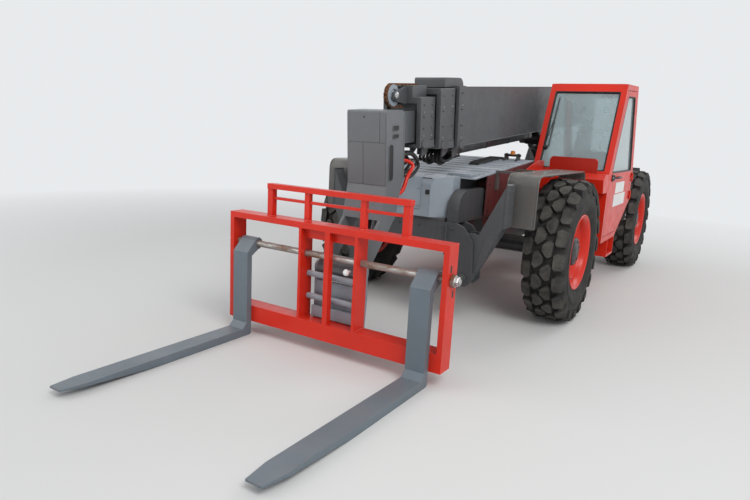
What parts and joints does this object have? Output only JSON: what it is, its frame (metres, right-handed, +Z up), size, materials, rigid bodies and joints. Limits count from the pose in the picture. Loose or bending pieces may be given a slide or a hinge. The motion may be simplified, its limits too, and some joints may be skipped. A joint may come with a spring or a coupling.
{
  "type": "telehandler",
  "caption": "Rough-terrain telehandler with a telescopic boom, fork carriage, side cab and front stabilisers, for lifting pallets high and far.",
  "frame": {"origin": "on the floor under the middle of the whole machine, forks included", "axes": "+X the way the forks point, +Y towards the cab side, +Z up"},
  "size_m": [8.0602, 2.57, 2.4791],
  "materials": {
    "tyre_rubber": "matt, dusty",
    "red_paint": "gloss",
    "grey_paint": "satin",
    "black_paint": "satin",
    "chrome": "polished",
    "bare_steel": "worn, light rust",
    "fork_steel": "satin, worn edges",
    "glass": "clear",
    "black_vinyl": "matt",
    "black_plastic": "matt",
    "cast_iron": "rough"
  },
  "bodies": {
    "chassis": {"frame": "grey_paint", "counterweight": "grey_paint", "front_cover": "grey_paint", "leg_house": "grey_paint", "leg_pins": "bare_steel", "cheeks": "grey_paint", "side_panels": "red_paint", "fenders": "grey_paint", "engine_pod": "red_paint", "pod_brackets": "grey_paint", "engine": "cast_iron", "boom_pin": "bare_steel", "lift_foot": "grey_paint", "axle_front": "black_paint", "axle_rear": "black_paint", "cab": "red_paint", "cab_glass": "glass", "cowl": "red_paint", "cab_step": "red_paint", "cab_mounts": "grey_paint", "seat": "black_vinyl", "console": "black_plastic"},
    "cab_door": {"cab_door": "red_paint", "door_glass": "glass"},
    "engine_lid": {"engine_lid": "red_paint"},
    "boom_base": {"boom_base": "grey_paint"},
    "boom_section_2": {"boom_section_2": "grey_paint"},
    "boom_section_3": {"boom_section_3": "grey_paint", "chain_sheave": "bare_steel"},
    "boom_section_4": {"boom_section_4": "grey_paint", "boom_nose": "grey_paint"},
    "lift_barrel": {"lift_barrel": "black_paint"},
    "lift_rod": {"lift_rod": "chrome"},
    "tilt_barrel": {"tilt_barrel": "black_paint"},
    "tilt_rod": {"tilt_rod": "chrome"},
    "carriage": {"carriage": "red_paint", "fork_shaft": "bare_steel", "coupler": "grey_paint"},
    "fork_left": {"fork_left": "fork_steel"},
    "fork_right": {"fork_right": "fork_steel"},
    "leg_left": {"leg_left": "grey_paint"},
    "leg_barrel_left": {"leg_barrel_left": "black_paint"},
    "leg_rod_left": {"leg_rod_left": "chrome"},
    "knuckle_front_left": {"knuckle_front_left": "black_paint"},
    "wheel_front_left": {"tyre_front_left": "tyre_rubber", "rim_front_left": "red_paint"},
    "knuckle_rear_left": {"knuckle_rear_left": "black_paint"},
    "wheel_rear_left": {"tyre_rear_left": "tyre_rubber", "rim_rear_left": "red_paint"},
    "leg_right": {"leg_right": "grey_paint"},
    "leg_barrel_right": {"leg_barrel_right": "black_paint"},
    "leg_rod_right": {"leg_rod_right": "chrome"},
    "knuckle_front_right": {"knuckle_front_right": "black_paint"},
    "wheel_front_right": {"tyre_front_right": "tyre_rubber", "rim_front_right": "red_paint"},
    "knuckle_rear_right": {"knuckle_rear_right": "black_paint"},
    "wheel_rear_right": {"tyre_rear_right": "tyre_rubber", "rim_rear_right": "red_paint"}
  },
  "joints": [
    {"name": "steer_front_left", "type": "hinge", "parent": "chassis", "child": "knuckle_front_left", "pos_m": [0.22985, 0.8625, 0.66], "axis": [0, 0, 1], "range_deg": [-35, 35]},
    {"name": "spin_front_left", "type": "hinge", "parent": "knuckle_front_left", "child": "wheel_front_left", "pos_m": [0.22985, 1.0975, 0.66], "axis": [0, 1, 0], "continuous": true},
    {"name": "steer_front_right", "type": "hinge", "parent": "chassis", "child": "knuckle_front_right", "pos_m": [0.22985, -0.8625, 0.66], "axis": [0, 0, 1], "range_deg": [-35, 35]},
    {"name": "spin_front_right", "type": "hinge", "parent": "knuckle_front_right", "child": "wheel_front_right", "pos_m": [0.22985, -1.0975, 0.66], "axis": [0, 1, 0], "continuous": true},
    {"name": "steer_rear_left", "type": "hinge", "parent": "chassis", "child": "knuckle_rear_left", "pos_m": [-3.07015, 0.8625, 0.66], "axis": [0, 0, 1], "range_deg": [-35, 35]},
    {"name": "spin_rear_left", "type": "hinge", "parent": "knuckle_rear_left", "child": "wheel_rear_left", "pos_m": [-3.07015, 1.0975, 0.66], "axis": [0, 1, 0], "continuous": true},
    {"name": "steer_rear_right", "type": "hinge", "parent": "chassis", "child": "knuckle_rear_right", "pos_m": [-3.07015, -0.8625, 0.66], "axis": [0, 0, 1], "range_deg": [-35, 35]},
    {"name": "spin_rear_right", "type": "hinge", "parent": "knuckle_rear_right", "child": "wheel_rear_right", "pos_m": [-3.07015, -1.0975, 0.66], "axis": [0, 1, 0], "continuous": true},
    {"name": "door_hinge", "type": "hinge", "parent": "chassis", "child": "cab_door", "pos_m": [-2.14715, 1.237, 1.2], "axis": [0, 0, 1], "range_deg": [0, 110]},
    {"name": "lid_hinge", "type": "hinge", "parent": "chassis", "child": "engine_lid", "pos_m": [-2.26015, -0.448, 1.352], "axis": [-1, 0, 0], "range_deg": [0, 60]},
    {"name": "boom_lift", "type": "hinge", "parent": "chassis", "child": "boom_base", "pos_m": [-3.52015, 0, 2.2], "axis": [0, -1, 0], "range_deg": [0, 74]},
    {"name": "lift_barrel_swing", "type": "hinge", "parent": "chassis", "child": "lift_barrel", "pos_m": [-3.42015, 0, 0.9], "axis": [0, -1, 0], "range_deg": [0, 46]},
    {"name": "lift_rod_slide", "type": "slide", "parent": "lift_barrel", "child": "lift_rod", "axis": [0.8816, 0, 0.472], "range_m": [0, 1.22]},
    {"name": "extend_2", "type": "slide", "parent": "boom_base", "child": "boom_section_2", "axis": [0.9962, 0, -0.0872], "range_m": [0, 3.3]},
    {"name": "extend_3", "type": "slide", "parent": "boom_section_2", "child": "boom_section_3", "axis": [0.9962, 0, -0.0872], "range_m": [0, 3.3]},
    {"name": "extend_4", "type": "slide", "parent": "boom_section_3", "child": "boom_section_4", "axis": [0.9962, 0, -0.0872], "range_m": [0, 3.3]},
    {"name": "carriage_tilt", "type": "hinge", "parent": "boom_section_4", "child": "carriage", "pos_m": [2.26485, 0, 0.62], "axis": [0, 1, 0], "range_deg": [-18, 85]},
    {"name": "tilt_barrel_swing", "type": "hinge", "parent": "boom_section_4", "child": "tilt_barrel", "pos_m": [1.81785, 0, 1.5], "axis": [0, 1, 0], "range_deg": [-3, 8]},
    {"name": "tilt_rod_slide", "type": "slide", "parent": "tilt_barrel", "child": "tilt_rod", "axis": [0.2421, 0, -0.9702], "range_m": [-0.4, 0.09]},
    {"name": "fork_slide_left", "type": "slide", "parent": "carriage", "child": "fork_left", "axis": [0, 1, 0], "range_m": [-0.44, 0.04]},
    {"name": "leg_swing_left", "type": "hinge", "parent": "chassis", "child": "leg_left", "pos_m": [1.07985, 0.54, 0.47], "axis": [-1, 0, 0], "range_deg": [0, 100]},
    {"name": "leg_barrel_swing_left", "type": "hinge", "parent": "chassis", "child": "leg_barrel_left", "pos_m": [1.11685, -0.21, 0.88], "axis": [-1, 0, 0], "range_deg": [0, 18]},
    {"name": "leg_rod_slide_left", "type": "slide", "parent": "leg_barrel_left", "child": "leg_rod_left", "axis": [0, 0.9965, -0.0841], "range_m": [0, 0.47]},
    {"name": "fork_slide_right", "type": "slide", "parent": "carriage", "child": "fork_right", "axis": [0, -1, 0], "range_m": [-0.44, 0.04]},
    {"name": "leg_swing_right", "type": "hinge", "parent": "chassis", "child": "leg_right", "pos_m": [1.07985, -0.54, 0.47], "axis": [1, 0, 0], "range_deg": [0, 100]},
    {"name": "leg_barrel_swing_right", "type": "hinge", "parent": "chassis", "child": "leg_barrel_right", "pos_m": [1.18285, 0.21, 0.88], "axis": [1, 0, 0], "range_deg": [0, 18]},
    {"name": "leg_rod_slide_right", "type": "slide", "parent": "leg_barrel_right", "child": "leg_rod_right", "axis": [0, -0.9965, -0.0841], "range_m": [0, 0.47]}
  ],
  "couplings": [
    {"joint": "steer_front_right", "follows": "steer_front_left", "ratio": 1},
    {"joint": "steer_rear_right", "follows": "steer_rear_left", "ratio": 1},
    {"joint": "lift_barrel_swing", "follows": "boom_lift", "ratio": 0.60843},
    {"joint": "lift_rod_slide", "follows": "boom_lift", "m_per_rad": 0.93429},
    {"joint": "extend_3", "follows": "extend_2", "ratio": 1},
    {"joint": "extend_4", "follows": "extend_2", "ratio": 1},
    {"joint": "tilt_barrel_swing", "follows": "carriage_tilt", "ratio": 0.05165},
    {"joint": "tilt_rod_slide", "follows": "carriage_tilt", "m_per_rad": -0.26653},
    {"joint": "leg_barrel_swing_left", "follows": "leg_swing_left", "ratio": 0.17479},
    {"joint": "leg_rod_slide_left", "follows": "leg_swing_left", "m_per_rad": 0.26623},
    {"joint": "leg_barrel_swing_right", "follows": "leg_swing_right", "ratio": 0.17479},
    {"joint": "leg_rod_slide_right", "follows": "leg_swing_right", "m_per_rad": 0.26623}
  ]
}
